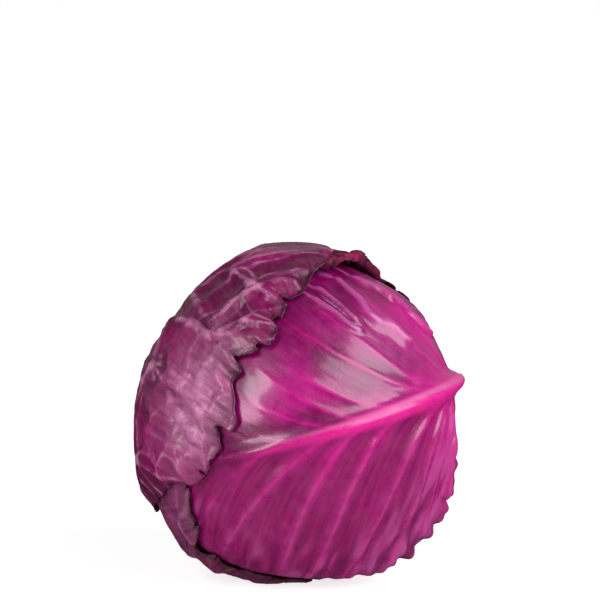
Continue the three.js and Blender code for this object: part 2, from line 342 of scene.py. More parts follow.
# %% The planes of the leaves
for leaf in LEAVES:
    leaf["normal"] = direction_of(*leaf["centre"])
    tip = leaf["normal"] * (STEM @ leaf["normal"]) - STEM
    leaf["tip"] = tip / np.linalg.norm(tip)
    leaf["side"] = np.cross(leaf["tip"], leaf["normal"])
    leaf["to_stem"] = WRAP_RADIUS * float(angle_from(leaf["normal"], STEM))
    print(leaf["name"], "has its centre", round(leaf["to_stem"]), "mm from the stem")


def smooth_reach(outline, bearing):
    """A smooth closed curve through the outline's reaches, at any bearing."""
    at = np.array([b for b, _ in outline], float)
    reach = np.array([r for _, r in outline], float)
    at = np.concatenate([at[-2:] - 360, at, at[:2] + 360])
    reach = np.concatenate([reach[-2:], reach, reach[:2]])
    slope = (reach[2:] - reach[:-2]) / (at[2:] - at[:-2])
    k = np.minimum(np.searchsorted(at, bearing, side="right"), len(at) - 2)
    a, b = at[k - 1], at[k]
    t = (bearing - a) / (b - a)
    rise, fall = slope[k - 2] * (b - a), slope[k - 1] * (b - a)
    start = reach[k - 1] * (2 * t**3 - 3 * t**2 + 1) + rise * (t**3 - 2 * t**2 + t)
    return start + reach[k] * (3 * t**2 - 2 * t**3) + fall * (t**3 - t**2)


def raggedness(leaf, bearing):
    """How far the torn margin stands out past the smooth outline, in mm."""
    petiole = smoothstep(turn_between(bearing, 180), 9, 20)
    seed = LEAVES.index(leaf)
    teeth = 1.3 * around_noise(bearing, 64, seed) + 1.1 * around_noise(bearing, 128, seed + 1)
    fine = 0.6 * around_noise(bearing, 256, seed + 2)
    rips = 2.2 * smoothstep(around_noise(bearing, 128, seed + 3), 0.32, 0.44)
    return leaf["ragged"] * petiole * (teeth + fine - rips)


def place_in(leaf, directions):
    """Where directions fall in a leaf's plane: x, y, bearing, and share, which is 1 on the margin."""
    angle = angle_from(directions, leaf["normal"])
    scale = WRAP_RADIUS * angle / np.maximum(np.sin(angle), 1e-6)
    x = scale * (directions @ leaf["side"])
    y = scale * (directions @ leaf["tip"])
    bearing = np.degrees(np.arctan2(x, y)) % 360
    return x, y, bearing, np.hypot(x, y) / smooth_reach(leaf["outline"], bearing)


# %% [markdown]
# ## Ribs, veins and lifted margins
#
# The midrib is thick where it joins the stem and fades towards the tip. The side veins leave it
# almost along it and then curve out, as the square root of the way out does. On the front leaf
# they are faint above the midrib and strong below it.


# %% The ribs and veins of a leaf
FRONT_VEIN_STRENGTHS = (0.4, 1.1)
FRONT_VEIN_WIDTHS = (2.0, 3.0)


def rib_height(leaf, x, y, broadened=1.0):
    height, width = leaf["rib"]
    length = leaf["to_stem"] + leaf["outline"][0][1]
    along = np.clip((y + leaf["to_stem"]) / length, 0, 1)
    root = smoothstep(along, 0.04, 0.16)
    tall = height * (1 - along) ** 1.5 * (0.55 + 0.45 * root) + 0.7
    return tall * bell(x, (width * (1 - along) ** 0.7 + 2) * broadened)


def vein_distance(leaf, x, y):
    """How far each point is from the nearest side vein, in mm."""
    out = np.maximum(np.abs(x), 0.5)
    nearest = np.full(x.shape, 1e3)
    for side, veins in ((x > 0, leaf["plus"]), (x <= 0, leaf["minus"])):
        for start, run in veins:
            slope = run / (2 * np.sqrt(out))
            aside = np.abs(y - start - run * np.sqrt(out)) / np.hypot(1, slope)
            nearest = np.where(side, np.minimum(nearest, aside), nearest)
    return nearest


def vein_height(leaf, x, y):
    height, width = leaf["vein"]
    out = np.abs(x)
    fade = smoothstep(out, 3, 14) * (1 - 0.5 * smoothstep(out, 40, 105))
    if leaf["name"] == "front_leaf":
        fade = fade * np.where(x > 0, *FRONT_VEIN_STRENGTHS)
        width = np.where(x > 0, *FRONT_VEIN_WIDTHS)
    most = height * fade * bell(vein_distance(leaf, x, y), width)
    for beside, pleat_height in leaf["folds"]:
        most = np.maximum(most, pleat_height * bell(x - beside - PLEAT_SLANT * y, PLEAT_WIDTH))
    return most


def flow_start(x, y):
    """Where the line through a point that runs as the side veins do leaves the midrib."""
    run = np.where(x > 0, FLOW_RUN_PLUS, FLOW_RUN_MINUS)
    return y - run * np.sqrt(np.abs(x)) + np.where(x > 0, OTHER_HALF, 0)


# %% Where the margin stands off
def lift_of(leaf, bearing, share):
    lift = 0
    for at, spread, height in leaf["lifts"]:
        lift = lift + height * bell(turn_between(bearing, at), spread)
    height, waves = leaf["frill"]
    b = np.radians(bearing)
    waved = 0.75 * np.sin(waves * b) + 0.5 * np.sin(round(1.62 * waves) * b + 2.0)
    frilled = 1 + (height / 3) * waved + 0.6 * height * around_noise(bearing, 128, 1)
    return lift * frilled * smoothstep(share, 0.78, 1.0)


# %% [markdown]
# ## What lies over a leaf
#
# Relief must fade out under the leaves further out, or it would poke through them. Both measures
# below ask every later leaf how far a point is inside its outline.


# %% How bare each point is
def exposure(number, directions):
    """1 where no later leaf lies over this one."""
    bare = np.ones(len(directions))
    for later in LEAVES[number + 1:]:
        bare *= smoothstep(place_in(later, directions)[3], *MARGIN_EASE)
    return bare


def open_skin(number, directions, start, full):
    """The same for fine relief: it fades in between two distances, in mm, past the margins over it."""
    skin = np.ones(len(directions))
    for later in LEAVES[number + 1:]:
        x, y, bearing, _ = place_in(later, directions)
        beyond = np.hypot(x, y) - smooth_reach(later["outline"], bearing)
        skin *= smoothstep(beyond, start, full)
    return skin


# %% [markdown]
# ## What lies under a leaf
#
# The heart is a ball with broad swellings and a dimple round the stem. A leaf lies on the heart
# and on every leaf further in, and where a rib runs under it, it is lifted in a soft tent.


# %% The heart and the stack of leaves on it
def heart_radius(directions):
    from_stem = np.degrees(angle_from(directions, STEM))
    around = np.degrees(np.arctan2(directions @ STEM_UP, directions @ STEM_FRONT))
    radius = HEART_RADIUS - DIMPLE_DEPTH * bell(from_stem, DIMPLE_SPREAD)
    for azimuth, elevation, height, spread in SWELLINGS:
        away = np.degrees(angle_from(directions, direction_of(azimuth, elevation)))
        radius = radius + height * bell(away, spread)
    ribbed = smoothstep(from_stem, 14, 24) * (1 - smoothstep(from_stem, 30, 80))
    for rib in HEART_RIBS:
        radius = radius + HEART_RIB_HEIGHT * ribbed * bell(turn_between(around, rib), HEART_RIB_SPREAD)
    return radius


def stack_radius(number, directions):
    """How far out the surface is that this leaf lies on."""
    radius = heart_radius(directions)
    for k, under in enumerate(LEAVES[:number]):
        x, y, bearing, share = place_in(under, directions)
        cover = 1 - smoothstep(share, *MARGIN_EASE)
        raised = rib_height(under, x, y, TENT)
        raised = raised + exposure(k, directions) * lift_of(under, bearing, share)
        radius = radius + cover * (LAYER_GAP + BLADE_THICKNESS + raised)
    return radius


# %% [markdown]
# ## Crumples
#
# The old outer leaves have gone limp and dry. They are creased in a net, with a flat or slightly
# tilted face inside each mesh of the net. Scattered points give such a net: every place belongs to
# its nearest point, and the creases run where two points are equally near.


# %% A net of creases
def crease_net(x, y, size):
    """A net of that mesh size: distance to its creases in mm, tilt of each face, and tone of each."""
    gx, gy = x / size, y / size
    cell_x, cell_y = np.floor(gx).astype(int), np.floor(gy).astype(int)
    first = np.full(x.shape, 1e3)
    second = np.full(x.shape, 1e3)
    tilt, tone = np.zeros(x.shape), np.zeros(x.shape)
    for dx in (-1, 0, 1):
        for dy in (-1, 0, 1):
            jitter = scatter[(cell_x + dx) % NOISE_CELLS, (cell_y + dy) % NOISE_CELLS]
            ox = cell_x + dx + 0.1 + 0.8 * jitter[..., 0] - gx
            oy = cell_y + dy + 0.1 + 0.8 * jitter[..., 1] - gy
            away = np.hypot(ox, oy)
            slope = (jitter[..., 2] - 0.5) * ox + (jitter[..., 3] - 0.5) * oy
            nearer = away < first
            second = np.where(nearer, first, np.minimum(second, away))
            tilt = np.where(nearer, slope, tilt)
            tone = np.where(nearer, (jitter[..., 0] * 7 + jitter[..., 2]) % 1, tone)
            first = np.where(nearer, away, first)
    return (second - first) * size / 2, tilt, tone


def folded_by(away, tilt, spread, height, slope):
    """Relief in mm: a soft ridge along a crease, and the tilted face beside it."""
    ridge = height * np.maximum(1 - away / spread, 0) ** 1.8
    return ridge + slope * tilt * smoothstep(away, 0, spread)


def crumples(leaf, x, y):
    """The wide and the small net: relief, distance to a crease, tone of the faces, and wear with
    painted light: + on crests, paled by wear and a painted highlight, - beside them, darkened as
    painted shade.
    """
    seed = LEAVES.index(leaf)
    shift_x = 9 * (soft_noise(x, y, 14, seed + 2) - 0.5)
    shift_y = 9 * (soft_noise(x, y, 14, seed + 3) - 0.5)
    # Towards the stem the wide net is drawn out along the leaf.
    drawn_out = CREASE_STRETCH * y + (0.8 - CREASE_STRETCH) * np.maximum(y - 5, 0)
    slanted = x - CREASE_SLANT * y + shift_x
    wide, wide_tilt, panel = crease_net(slanted, drawn_out + 0.5 * shift_y, WIDE_MESH)
    small, small_tilt, _ = crease_net(x - shift_y, y + shift_x, SMALL_MESH)
    folded = folded_by(wide, wide_tilt, 6, 1.6, 5.5) + folded_by(small, small_tilt, 3, 0.5, 1.6)
    # In broad patches the creases are less worn, and so they show less.
    worn_and_painted_light = 0.3 + 0.7 * smoothstep(soft_noise(x, y, 26, seed + 1), 0.05, 0.4)
    crease = np.minimum(wide + 0.2, small + 0.7) + 1.4 * (1 - worn_and_painted_light)
    # The crest of a crease is paled, by wear and a painted highlight, and the band beside it is
    # darkened as painted shade.
    rubbed_and_painted_light = worn_and_painted_light * (0.3 * bell(wide, 0.8) - 0.3 * bell(wide - 3.4, 1.6))
    return leaf["crumpled"] * (folded + 0.5), crease, panel, rubbed_and_painted_light


# %% [markdown]
# ## Traced folds
#
# The largest folds are drawn as lines on the leaf. Each stands up like a small tent. Its crest is
# painted pale, by wear and a painted highlight, and the hollow beside it is darkened as painted
# shade, which is what makes a fold show from afar.


# %% Folds along drawn lines
def path_distance(x, y, path):
    nearest = np.full(x.shape, 1e3)
    for (ax, ay), (bx, by) in zip(path, path[1:]):
        dx, dy = bx - ax, by - ay
        t = np.clip(((x - ax) * dx + (y - ay) * dy) / (dx * dx + dy * dy), 0, 1)
        nearest = np.minimum(nearest, np.hypot(x - ax - t * dx, y - ay - t * dy))
    return nearest


def traced_folds(leaf, x, y):
    """Height of the folds in mm, the distance to them, and the wear and painted light: + on crests,
    paled by wear and a painted highlight, - in hollows, darkened as painted shade.
    """
    seed = LEAVES.index(leaf)
    wander_x = 5 * (soft_noise(x, y, 11, seed + 2) - 0.5)
    wander_y = 5 * (soft_noise(x, y, 11, seed + 3) - 0.5)
    folds, rubbed_and_painted_light = np.zeros(x.shape), np.zeros(x.shape)
    crease = np.full(x.shape, NO_CREASE)
    for height, width, path in leaf["ridges"]:
        away = path_distance(x + wander_x, y + wander_y, path)
        folds = np.maximum(folds, height * np.maximum(1 - away / (FOLD_SPREAD * width), 0) ** 1.7)
        # The crest is paled by wear and a painted highlight; the hollow beside it is darkened as
        # painted shade.
        crest, hollow = bell(away, 0.8 * width), bell(away - 3.0 * width, 1.2 * width)
        rubbed_and_painted_light = np.maximum(rubbed_and_painted_light, crest) - 0.6 * hollow * (1 - crest)
        crease = np.minimum(crease, away)
    return folds, crease, rubbed_and_painted_light


# %% [markdown]
# ## Swellings and furrows
#
# Even a fresh leaf isn't smooth. It swells softly between its veins, fine furrows fan out from the
# knob of its midrib, and towards the margin an old leaf is drawn into short pleats.


# %% The skin between the veins
def swellings_of(leaf, x, y):
    """How far the skin is puffed up in mm, and the furrows: + on crests, - in valleys.

    The steps are in mm from the leaf's centre or from its knob, and in degrees of the fan.
    """
    seed = LEAVES.index(leaf)
    out = np.hypot(x, y)
    streaks = soft_noise(flow_start(x, y), x * 0.2, 3.2, seed + 2)
    furrowed = leaf["furrows"] * smoothstep(out, 40, 95) * smoothstep(-x, 2, 20)
    from_knob, fan = np.hypot(x, y - KNOB_Y), np.degrees(np.arctan2(-x, y - KNOB_Y))
    fanned = leaf["furrows"] * smoothstep(fan, 28, 50) * smoothstep(from_knob, 14, 45)
    fan_noise = soft_noise(fan, from_knob * 0.1, 4.6, seed)
    bearing = np.degrees(np.arctan2(x, y)) % 360
    pleated = leaf["crumpled"] * smoothstep(out, 55, 92)
    puff = 0.7 * soft_noise(x, y, 23, seed) + 0.1 * soft_noise(x, y, 9, seed + 1)
    puff = puff + (0.16 + furrowed) * streaks + 2.0 * fanned * fan_noise
    puff = puff + 1.1 * pleated * (around_noise(bearing, 128, seed) + 0.5)
    furrow = fanned * (fan_noise - 0.5) + furrowed * (streaks - 0.5)
    return puff, furrow


def puckers(leaf, x, y):
    """Height of the swellings and of the traced folds in mm, and the marks that a finish reads."""
    puff, furrow = swellings_of(leaf, x, y)
    folds, crease, rubbed_and_painted_light = traced_folds(leaf, x, y)
    tone = soft_noise(x, y, 16, LEAVES.index(leaf) + 1)
    if leaf["crumpled"]:
        crumpled, net, panel, worn_and_painted_light = crumples(leaf, x, y)
        puff = puff + crumpled
        crease = np.minimum(crease, net)
        tone = 0.4 * panel + 0.6 * tone
        # Crests paled by wear and painted highlights, hollows darkened as painted shade.
        rubbed_and_painted_light = 0.55 * rubbed_and_painted_light + worn_and_painted_light
    marks = dict(crease=crease, tone=tone, furrow=furrow, rubbed_and_painted_light=np.clip(rubbed_and_painted_light, -1, 1))
    return np.maximum(puff, 0), folds, marks


# %% [markdown]
# ## The margin
#
# A leaf's margin is waved, and where it has dried it rolls up on itself. The roll is an arc: how
# far it turns says how tight it is, and how long it is says how much of the blade it takes.


# %% The turn of the margin, its frays and its bloom
def curl_of(leaf, bearing):
    """How far the margin is turned up, in radians, and the length of blade that turns, in mm."""
    b = np.radians(bearing)
    rolled = 0
    for at, spread, turn in leaf["curls"]:
        rolled = rolled + turn * bell(turn_between(bearing, at), spread)
    wavy = 0.5 + 0.5 * np.sin(23 * b + 2.2 * np.sin(5 * b)) * np.sin(9 * b + 1.0)
    crushed = 0.75 + 0.35 * wavy + 0.22 * np.sin(47 * b) + 0.18 * np.sin(83 * b + 1.0)
    petiole = smoothstep(turn_between(bearing, 180), 12, 28)
    turn = 0.05 + petiole * (leaf["curled"] * wavy + rolled * crushed)
    return turn, CURL_LENGTH + ROLL_LENGTH * rolled


def fray_of(leaf, bearing):
    """How torn and dry the margin is at a bearing, from 0 to 1."""
    fray = np.zeros(bearing.shape)
    for at, spread in leaf["frays"]:
        fray = fray + bell(turn_between(bearing, at), spread)
    return fray


def bloom_of(leaf, x, y):
    """How thick the pale wax lies, from 0 to 1."""
    bloom = np.zeros(x.shape)
    for at_x, at_y, size, amount in leaf["blooms"]:
        bloom = bloom + amount * bell(np.hypot(x - at_x, y - at_y), size)
    return bloom


# %% [markdown]
# ## Making one leaf
#
# A square grid is drawn out to the leaf's outline and wrapped on the stack. The whole sheet is then
# extruded once, and the new sheet is pushed out along the leaf's own normals, by the blade's
# thickness and the ribs, which stand only on the outside. The margin is thinner than the blade.


# %% The leaf's sheet, flat
def flat_sheet(leaf, u, v):
    """Draw a square from -1 to 1 out to the outline, with its margin rolled up.

    Gives each point's share of the way out, its bearing, its distance from the leaf's centre, the
    turn and the rise of the roll, and how far it is from the margin.
    """
    across = u * np.sqrt(1 - v * v / 2)
    along = v * np.sqrt(1 - u * u / 2)
    share = np.hypot(across, along)
    bearing = np.degrees(np.arctan2(across, along)) % 360
    torn = raggedness(leaf, bearing) * smoothstep(share, 0.8, 1.0)
    reach = smooth_reach(leaf["outline"], bearing) + torn
    turn, curled = curl_of(leaf, bearing)
    bend = curled / turn
    flat_reach = reach - bend * np.sin(np.minimum(turn, math.pi / 2))
    laid = share * (flat_reach + curled)
    rolled = np.clip((laid - flat_reach) / curled, 0, 1) * turn
    distance = np.minimum(laid, flat_reach) + bend * np.sin(rolled)
    rise = bend * (1 - np.cos(rolled))
    return share, bearing, distance, rolled, rise, (flat_reach + curled) * (1 - share)


# %% The leaf's sheet, wrapped
def leaf_sheet(number, u, v):
    """Places of the sheet's points in mm, how far its outside stands above them, and the marks."""
    leaf = LEAVES[number]
    share, bearing, distance, rolled, rise, margin = flat_sheet(leaf, u, v)
    heading = np.radians(bearing)
    angle = (distance / WRAP_RADIUS)[:, None]
    outwards = leaf["side"] * np.sin(heading)[:, None] + leaf["tip"] * np.cos(heading)[:, None]
    directions = leaf["normal"] * np.cos(angle) + outwards * np.sin(angle)
    x, y = distance * np.sin(heading), distance * np.cos(heading)
    bare = exposure(number, directions)
    skin = open_skin(number, directions, 2, 30)
    puff, folds, marks = puckers(leaf, x, y)
    hug = smoothstep(share, 0.86, 0.99)
    lying = FINE_GAP + bare * lift_of(leaf, bearing, share) - MARGIN_HUG * hug
    lying = lying + skin * puff * (1 - 0.75 * hug)
    lying = lying + open_skin(number, directions, 1.5, 7) * folds
    lying = lying + open_skin(number, directions, -3, 3) * rise
    radius = stack_radius(number, directions) + lying
    rib = rib_height(leaf, x, y)
    thickness = BLADE_THICKNESS * (1 - 0.5 * smoothstep(share, 0.93, 1.0))
    outside = thickness + rib + skin * vein_height(leaf, x, y)
    marks.update(
        x=x, y=y, bare=bare, margin=margin, rib=rib, vein=vein_distance(leaf, x, y),
        start=flow_start(x, y), curl=rolled, bloom=bloom_of(leaf, x, y), fray=fray_of(leaf, bearing),
    )
    return directions * radius[:, None] + HEAD_CENTRE, outside, marks


# %% [markdown]
# ## Keep to the solid model's box
#
# A reusable part has to fit where its solid fits. So the last few millimetres before a wall of the
# model's box are eased, and a wave that would pass the wall is pressed flat instead.


# %% Ease points at the walls of the box
def within_box(points, inset):
    low, high = (np.array(corner) / MM for corner in cad_box)
    below, above = low + BOX_EASING + inset, high - BOX_EASING - inset
    over, under = np.maximum(points - above, 0), np.maximum(below - points, 0)
    under[:, 2] = 0
    eased_over, eased_under = (BOX_EASING * np.tanh(past / BOX_EASING) for past in (over, under))
    return points - over + eased_over + under - eased_under


# %% [markdown]
# ## From points to objects
#
# What a finish has to know about a point, such as how near it is to a vein, is stored with the
# mesh as one number for each vertex. A node in the material reads it by its name.


# %% Helpers for meshes
def object_from(name, form):
    """Make an object of a bmesh, and link it to the scene."""
    mesh = bpy.data.meshes.new(name)
    form.to_mesh(mesh)
    form.free()
    made = bpy.data.objects.new(name, mesh)
    bpy.context.scene.collection.objects.link(made)
    return made


def store_marks(mesh, marks):
    for name, values in marks.items():
        layer = mesh.attributes.new(name, "FLOAT", "POINT")
        layer.data.foreach_set("value", values.astype(np.float32))


# %% The two faces and the rim of a leaf
# So many mm of the leaf are one unit of its flat map.
UV_SPAN = 100


def leaf_object(number):
    leaf = LEAVES[number]
    sheet = bmesh.new()
    bmesh.ops.create_grid(sheet, x_segments=leaf["grid"], y_segments=leaf["grid"], size=1.0)
    sheet.verts.ensure_lookup_table()
    # The extruded sheet takes this number along, so both faces know their spot in the grid.
    spot = sheet.verts.layers.int.new("spot")
    square = np.array([v.co[:2] for v in sheet.verts])
    inner, outside, marks = leaf_sheet(number, square[:, 0], square[:, 1])
    for i, vert in enumerate(sheet.verts):
        vert[spot] = i
        vert.co = inner[i]
    sheet.normal_update()
    normals = np.array([v.normal for v in sheet.verts])
    if (normals * (inner - HEAD_CENTRE)).sum() < 0:
        normals = -normals
    outer = within_box(inner + normals * outside[:, None], 0.0)
    inner = within_box(inner, INNER_INSET)
    inner[:, 2] = np.maximum(inner[:, 2], leaf["floor"] + BLADE_THICKNESS)
    outer[:, 2] = np.maximum(outer[:, 2], leaf["floor"])
    made = bmesh.ops.extrude_face_region(sheet, geom=sheet.faces[:], use_keep_orig=True)
    pushed = {v for v in made["geom"] if isinstance(v, bmesh.types.BMVert)}
    for vert in sheet.verts:
        vert.co = Vector((outer if vert in pushed else inner)[vert[spot]]) * MM
    bmesh.ops.recalc_face_normals(sheet, faces=sheet.faces[:])
    piece = object_from(leaf["name"] + "_fine", sheet)
    mesh = piece.data
    spots = np.zeros(len(mesh.vertices), np.int32)
    mesh.attributes["spot"].data.foreach_get("value", spots)
    store_marks(mesh, {name: values[spots] for name, values in marks.items()})
    mesh.attributes.remove(mesh.attributes["spot"])
    corners = np.zeros(len(mesh.loops), np.int32)
    mesh.loops.foreach_get("vertex_index", corners)
    flat = np.stack([marks["x"], marks["y"]], 1)[spots[corners]] / UV_SPAN
    mesh.uv_layers.new(name="leaf").data.foreach_set("uv", flat.astype(np.float32).ravel())
    mesh.shade_smooth()
    print(leaf["name"], len(mesh.polygons), "faces")
    return piece


pieces = [leaf_object(number) for number in range(len(LEAVES))]

# %% [markdown]
# ## The heart
#
# The leaves further in are pressed into one ball, and only its stem end shows: the cut stump with
# its pale face, and the ribs that run into it. It is turned from a profile, as a bowl is on a lathe.

# %% The lathe's profile
HEART_RINGS, FACE_RINGS = 72, 8
HEART_SEGMENTS = 144
WALL_FOOT = math.asin(STUMP_RADIUS / (HEART_RADIUS - DIMPLE_DEPTH + 1))
WALL_TOP = math.atan(STUMP_RADIUS / STUMP_FACE)
profile = [(STUMP_RADIUS * k / FACE_RINGS, STUMP_FACE) for k in range(FACE_RINGS + 1)]
for ring in range(HEART_RINGS + 1):
    down = WALL_FOOT + (math.pi - WALL_FOOT) * ring / HEART_RINGS
    profile.append((math.sin(down), math.cos(down)))
print("the stump meets the ball", round(math.degrees(WALL_FOOT), 1), "degrees from the stem")


# %% The inner leaves that show at the stem
INNER_LEAF_HALF = 64
INNER_LEAF_THICKNESS = 0.7
INNER_VEIN_STEP, INNER_VEIN_HEIGHT = 8, 0.5


def inner_leaves(away, around):
    """Relief of the leaves round the stem in mm, and the distance to their veins."""
    relief = np.zeros(away.shape)
    vein = np.full(away.shape, NO_CREASE)
    for rib in HEART_RIBS:
        beside = turn_between(around, rib)
        half = INNER_LEAF_HALF + 10 * soft_noise(away, away * 0 + rib, 7)
        blade = (1 - smoothstep(beside, half - 1.5, half + 1.5)) * smoothstep(away, 17, 24)
        relief += INNER_LEAF_THICKNESS * blade
        climb = (away - 1.4 * np.sqrt(beside * away) + 200) / INNER_VEIN_STEP
        to_vein = np.abs(climb % 1 - 0.5) * INNER_VEIN_STEP
        vein = np.where(beside < half, np.minimum(vein, to_vein), vein)
    relief += INNER_VEIN_HEIGHT * bell(vein, 1.1) * smoothstep(away, 20, 30)
    return relief, vein


# %% Turn the heart
RIM_DROP, RIM_WIDTH = 0.5, 1.2


def heart_object():
    turned = bmesh.new()
    rim = [turned.verts.new((across, 0, along)) for across, along in profile]
    edges = [turned.edges.new(pair) for pair in zip(rim, rim[1:])]
    bmesh.ops.spin(
        turned, geom=rim + edges, axis=(0, 0, 1), cent=(0, 0, 0), angle=math.tau,
        steps=HEART_SEGMENTS, use_merge=True,
    )
    bmesh.ops.remove_doubles(turned, verts=turned.verts[:], dist=1e-4)
    bmesh.ops.recalc_face_normals(turned, faces=turned.faces[:])
    local = np.array([v.co for v in turned.verts])
    length = np.linalg.norm(local, axis=1)
    turn = Vector((0, 0, 1)).rotation_difference(Vector(STEM)).to_matrix()
    directions = (local / length[:, None]) @ np.array(turn).T
    from_stem = angle_from(directions, STEM)
    on_stump = from_stem < WALL_TOP + 1e-3
    cut = np.tan(from_stem) * STUMP_FACE
    away = np.degrees(from_stem)
    around = np.degrees(np.arctan2(directions @ STEM_UP, directions @ STEM_FRONT))
    relief, vein = inner_leaves(away, around)
    radius = np.where(on_stump, length, heart_radius(directions))
    radius = radius + open_skin(-1, directions, 3, 16) * relief * (away > 16)
    radius = radius - np.where(on_stump, RIM_DROP * bell(cut - STUMP_RADIUS, RIM_WIDTH), 0)
    points = directions * radius[:, None] + HEAD_CENTRE
    points[:, 2] = np.maximum(points[:, 2], 2 * (BLADE_THICKNESS + LAYER_GAP))
    for vert, point in zip(turned.verts, points):
        vert.co = Vector(point) * MM
    piece = object_from("heart_fine", turned)
    store_marks(piece.data, dict(
        from_stem=away, cut=np.where(on_stump, cut, 99), vein=vein, around=around))
    piece.data.shade_smooth()
    print("heart", len(piece.data.polygons), "faces")
    return piece


heart = heart_object()

# %% [markdown]
# ## Finishes
#
# A red cabbage leaf is a dark skin under a dusty film of wax. Where the skin is stretched over a
# vein, the colour thins out to pink. Each finish is mixed from what the mesh knows about a point:
# how near it is to a vein, a crease or the margin. A ramp turns such a number into an amount: it
# eases from one amount to another between two values, which are mm, or shares of a noise.


# %% A recipe adds nodes to a material
class Recipe:
    """Each value is a plain number, a colour, or the output of another node."""

    def __init__(self, tree):
        self.tree = tree

    def node(self, kind, **settings):
        made = self.tree.nodes.new(kind)
        for name, value in settings.items():
            setattr(made, name, value)
        return made

    def feed(self, socket, value):
        if isinstance(value, bpy.types.NodeSocket):
            self.tree.links.new(value, socket)
        else:
            socket.default_value = value

    def maths(self, operation, a, b=0.0):
        made = self.node("ShaderNodeMath", operation=operation)
        self.feed(made.inputs[0], a)
        self.feed(made.inputs[1], b)
        return made.outputs[0]

    def plus(self, a, b):
        return self.maths("ADD", a, b)

    def times(self, a, b):
        return self.maths("MULTIPLY", a, b)

    def ramp(self, value, low, high, start=0.0, end=1.0):
        """Ease from start to end as value goes from low to high."""
        made = self.node("ShaderNodeMapRange", interpolation_type="SMOOTHSTEP")
        self.feed(made.inputs["Value"], value)
        for name, number in zip(("From Min", "From Max", "To Min", "To Max"), (low, high, start, end)):
            made.inputs[name].default_value = number
        return made.outputs["Result"]

    def mix(self, factor, a, b):
        made = self.node("ShaderNodeMix", data_type="RGBA")
        self.feed(made.inputs[0], factor)
        for socket, colour in ((made.inputs[6], a), (made.inputs[7], b)):
            self.feed(socket, (*colour, 1.0) if isinstance(colour, tuple) else colour)
        return made.outputs[2]

    def known(self, name):
        """A number that store_marks kept with the mesh."""
        return self.node("ShaderNodeAttribute", attribute_name=name).outputs["Fac"]

    def noise(self, place, scale, detail=3.0, roughness=0.55):
        made = self.node("ShaderNodeTexNoise")
        self.feed(made.inputs["Vector"], place)
        for name, number in zip(("Scale", "Detail", "Roughness"), (scale, detail, roughness)):
            made.inputs[name].default_value = number
        return made.outputs["Fac"]

    def bump(self, shader, height, strength, distance):
        """Relief too fine for the mesh: it only bends the light."""
        made = self.node("ShaderNodeBump")
        made.inputs["Strength"].default_value = strength
        made.inputs["Distance"].default_value = distance
        self.feed(made.inputs["Height"], height)
        self.feed(shader.inputs["Normal"], made.outputs["Normal"])


# %% Colours, given as they look on a screen
SHADE = 0.62
NEARLY_NONE = 10


def channel(seen):
    """One channel as light. All but the very darkest are taken down a shade, for the white room."""
    if seen > NEARLY_NONE:
        return SHADE * ((seen / 255 + 0.055) / 1.055) ** 2.4
    return seen / 255 / 12.92


def linear(red, green, blue):
    return channel(red), channel(green), channel(blue)


KNOB_PINK = linear(246, 160, 206)
CRUSHED_DARK, CRUSHED_RED = linear(20, 0, 8), linear(158, 0, 74)
print("shade of the colours:", SHADE)

# %% [markdown]
# ## The finish of a wrapper leaf
#
# All four leaves share one recipe, and it goes from the skin outwards. First come the dark and
# bright panels of the skin and the dust on it, then the veins and creases, then the midrib, and
# last the dried margin. Streaks follow the flow of the side veins, as the real ones do.


# %% The skin and its dust
def leaf_noises(recipe):
    """Streaks and fibres along the flow of the veins, and mottling of three sizes."""
    body = recipe.node("ShaderNodeTexCoord").outputs["Object"]
    flow = recipe.node("ShaderNodeCombineXYZ")
    recipe.feed(flow.inputs[0], recipe.known("start"))
    recipe.feed(flow.inputs[1], recipe.times(recipe.known("x"), 0.10))
    return dict(
        streak=recipe.noise(flow.outputs[0], 0.30, 4, 0.65),
        fibre=recipe.noise(flow.outputs[0], 1.1, 3, 0.6),
        broad=recipe.noise(body, 34, 3),
        mottle=recipe.noise(body, 150, 5, 0.62),
        grain=recipe.noise(body, 800, 4, 0.6),
    )


